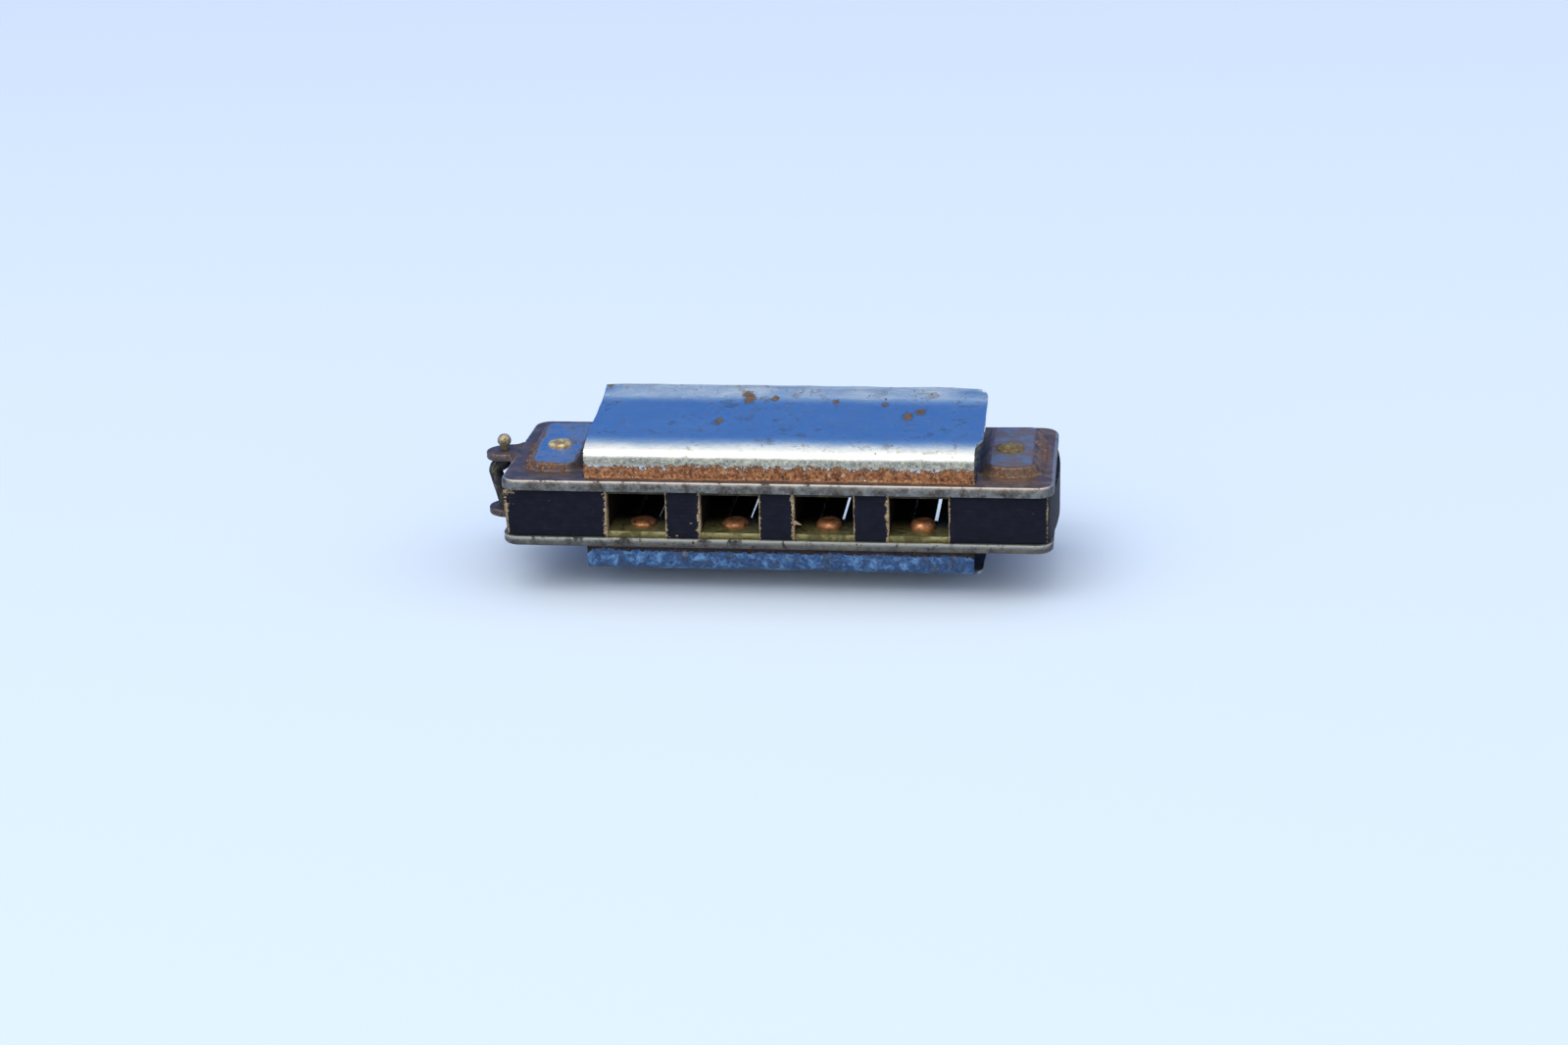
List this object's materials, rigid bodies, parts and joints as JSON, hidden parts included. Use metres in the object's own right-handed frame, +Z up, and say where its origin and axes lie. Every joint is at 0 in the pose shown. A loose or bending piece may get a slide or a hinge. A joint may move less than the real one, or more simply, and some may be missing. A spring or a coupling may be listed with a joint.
{
  "type": "harmonica",
  "caption": "Miniature harmonica with a painted wooden comb, brass reed plates with free reeds, nailed pressed covers and a swinging bail.",
  "frame": {"origin": "middle of the bounding box at its base, on the surface that the lower cover's back lip touches", "axes": "+X along the instrument to the high notes, +Y from the mouth holes to the back, +Z up"},
  "size_m": [0.0374, 0.013, 0.0112],
  "materials": {
    "black_painted_wood": "worn black paint over bare wood",
    "nickel_sheet": "worn nickel plate with rust spots",
    "brass_nail": "tarnished",
    "brass_plate": "tarnished",
    "reed_brass": "satin",
    "steel_pin": "rusty",
    "copper_rivet": "tarnished copper",
    "bail_brass": "dark tarnish"
  },
  "bodies": {
    "body": {"comb": "black_painted_wood", "upper_cover": "nickel_sheet", "lower_cover": "nickel_sheet", "upper_cover_nails": "brass_nail", "lower_cover_nails": "brass_nail", "blow_reed_plate": "brass_plate", "draw_reed_plate": "brass_plate", "blow_plate_pins": "steel_pin", "draw_plate_pins": "steel_pin", "blow_reed_heels": "reed_brass", "draw_reed_heels": "reed_brass", "blow_reed_rivets": "copper_rivet", "draw_reed_rivets": "copper_rivet"},
    "bail": {"bail": "bail_brass"},
    "blow_reed_1": {"blow_reed_1": "reed_brass"},
    "blow_reed_2": {"blow_reed_2": "reed_brass"},
    "blow_reed_3": {"blow_reed_3": "reed_brass"},
    "blow_reed_4": {"blow_reed_4": "reed_brass"},
    "draw_reed_1": {"draw_reed_1": "reed_brass"},
    "draw_reed_2": {"draw_reed_2": "reed_brass"},
    "draw_reed_3": {"draw_reed_3": "reed_brass"},
    "draw_reed_4": {"draw_reed_4": "reed_brass"}
  },
  "joints": [
    {"name": "bail_swing", "type": "hinge", "parent": "body", "child": "bail", "pos_m": [-0.01749, 0, 0.00561], "axis": [0, 0, 1], "range_deg": [-100, 100]},
    {"name": "blow_reed_1_flex", "type": "hinge", "parent": "body", "child": "blow_reed_1", "pos_m": [-0.00788, -0.0029, 0.00675], "axis": [1, 0, 0], "range_deg": [-4, 4], "stiffness_Nm_per_rad": 0.0001},
    {"name": "blow_reed_2_flex", "type": "hinge", "parent": "body", "child": "blow_reed_2", "pos_m": [-0.00191, -0.0029, 0.00675], "axis": [1, 0, 0], "range_deg": [-4, 4], "stiffness_Nm_per_rad": 0.0001},
    {"name": "blow_reed_3_flex", "type": "hinge", "parent": "body", "child": "blow_reed_3", "pos_m": [0.00406, -0.0029, 0.00675], "axis": [1, 0, 0], "range_deg": [-4, 4], "stiffness_Nm_per_rad": 0.0001},
    {"name": "blow_reed_4_flex", "type": "hinge", "parent": "body", "child": "blow_reed_4", "pos_m": [0.01003, -0.0029, 0.00675], "axis": [1, 0, 0], "range_deg": [-4, 4], "stiffness_Nm_per_rad": 0.0001},
    {"name": "draw_reed_1_flex", "type": "hinge", "parent": "body", "child": "draw_reed_1", "pos_m": [-0.00788, -0.0029, 0.00357], "axis": [1, 0, 0], "range_deg": [-4, 4], "stiffness_Nm_per_rad": 0.0001},
    {"name": "draw_reed_2_flex", "type": "hinge", "parent": "body", "child": "draw_reed_2", "pos_m": [-0.00191, -0.0029, 0.00357], "axis": [1, 0, 0], "range_deg": [-4, 4], "stiffness_Nm_per_rad": 0.0001},
    {"name": "draw_reed_3_flex", "type": "hinge", "parent": "body", "child": "draw_reed_3", "pos_m": [0.00406, -0.0029, 0.00357], "axis": [1, 0, 0], "range_deg": [-4, 4], "stiffness_Nm_per_rad": 0.0001},
    {"name": "draw_reed_4_flex", "type": "hinge", "parent": "body", "child": "draw_reed_4", "pos_m": [0.01003, -0.0029, 0.00357], "axis": [1, 0, 0], "range_deg": [-4, 4], "stiffness_Nm_per_rad": 0.0001}
  ]
}
